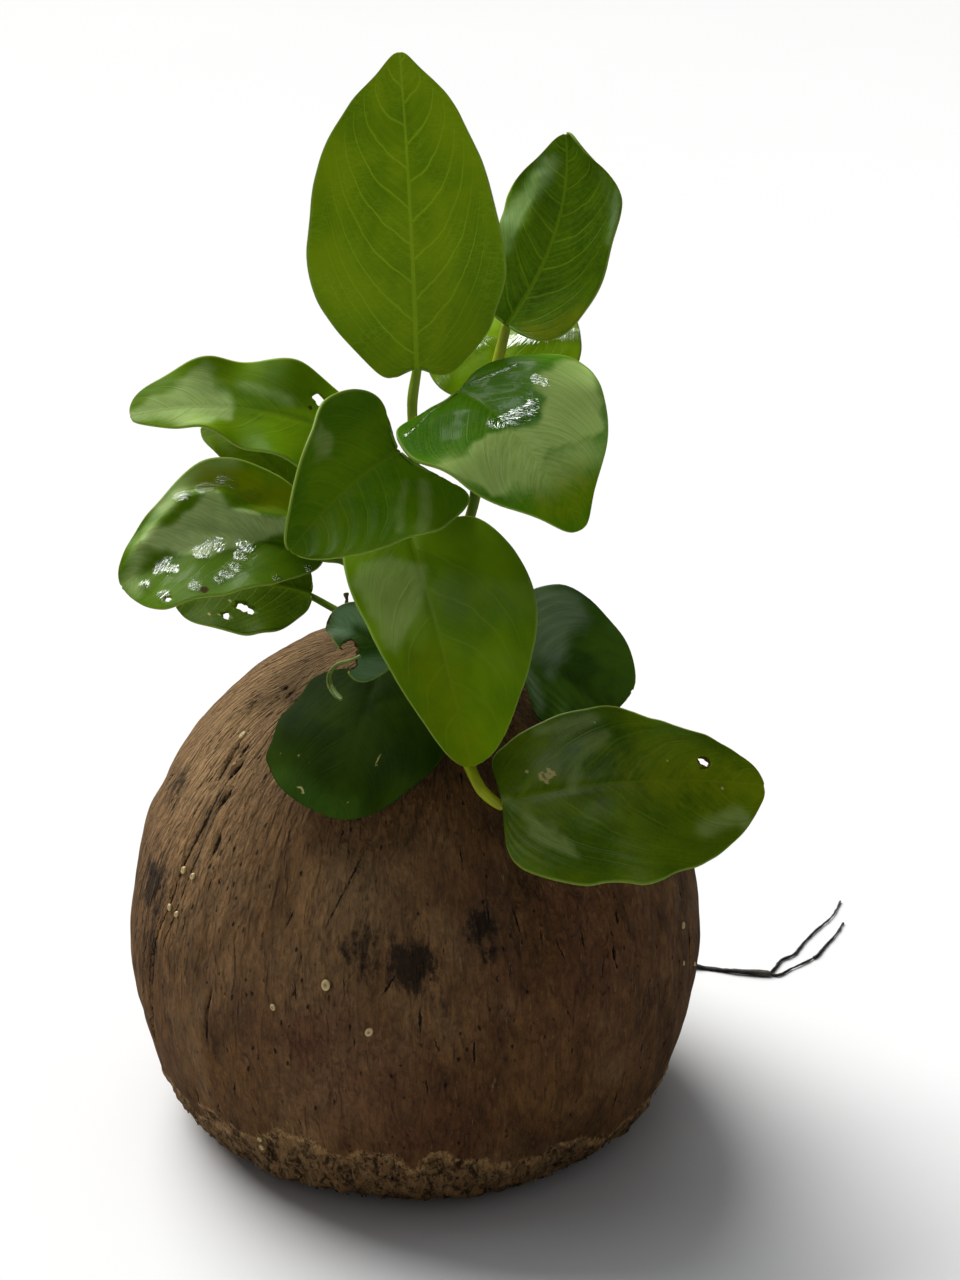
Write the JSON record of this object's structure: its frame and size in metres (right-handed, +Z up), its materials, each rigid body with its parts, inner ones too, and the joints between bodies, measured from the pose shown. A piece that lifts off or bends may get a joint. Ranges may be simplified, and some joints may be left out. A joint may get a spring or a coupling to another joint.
{
  "type": "anubias on coconut shell",
  "caption": "Aquarium plant with broad glossy green leaves, growing from a creeping stem on top of an upturned hollow coconut shell, with a thin forked root trailing off beside it.",
  "frame": {"origin": "on the floor, under the middle of the whole object's bounding box, trailing root included", "axes": "+Z up along the shell's axis and the tallest leaf; the side seen in the picture looks along -Y; the root trails towards +X and +Y"},
  "size_m": [0.1612, 0.144, 0.2212],
  "materials": {
    "coconut_shell": "matte",
    "rhizome": "satin",
    "leaf_bright": "satin",
    "leaf_green": "satin",
    "leaf_deep": "gloss",
    "leaf_dark": "satin",
    "torn_strip": "satin",
    "leaf_stalk": "satin",
    "dried_stalk": "matte",
    "root": "matte"
  },
  "bodies": {
    "root": {"coconut_shell": "coconut_shell", "rhizome": "rhizome", "leaf_crown": "leaf_bright", "leaf_back": "leaf_bright", "leaf_upper_right": "leaf_green", "leaf_upper_left": "leaf_green", "leaf_behind_left": "leaf_green", "leaf_glossy_left": "leaf_green", "leaf_front": "leaf_green", "leaf_lowest_left": "leaf_deep", "leaf_centre": "leaf_deep", "leaf_glossy_right": "leaf_deep", "leaf_lower_right": "leaf_deep", "leaf_dark_round": "leaf_dark", "leaf_dark_drooping": "leaf_dark", "leaf_young_torn": "leaf_dark", "leaf_young_curl": "torn_strip", "stem_crown": "leaf_stalk", "stem_back": "leaf_stalk", "stem_upper_right": "leaf_stalk", "stem_upper_left": "leaf_stalk", "stem_behind_left": "leaf_stalk", "stem_glossy_left": "leaf_stalk", "stem_front": "leaf_stalk", "stem_lowest_left": "leaf_stalk", "stem_centre": "leaf_stalk", "stem_glossy_right": "leaf_stalk", "stem_lower_right": "leaf_stalk", "stem_dark_round": "leaf_stalk", "stem_dark_drooping": "leaf_stalk", "stem_young_torn": "leaf_stalk", "stalk_dried": "dried_stalk", "root_trailing": "root", "root_fork_inner": "root", "root_fork_outer": "root", "root_twig": "root"}
  },
  "joints": []
}
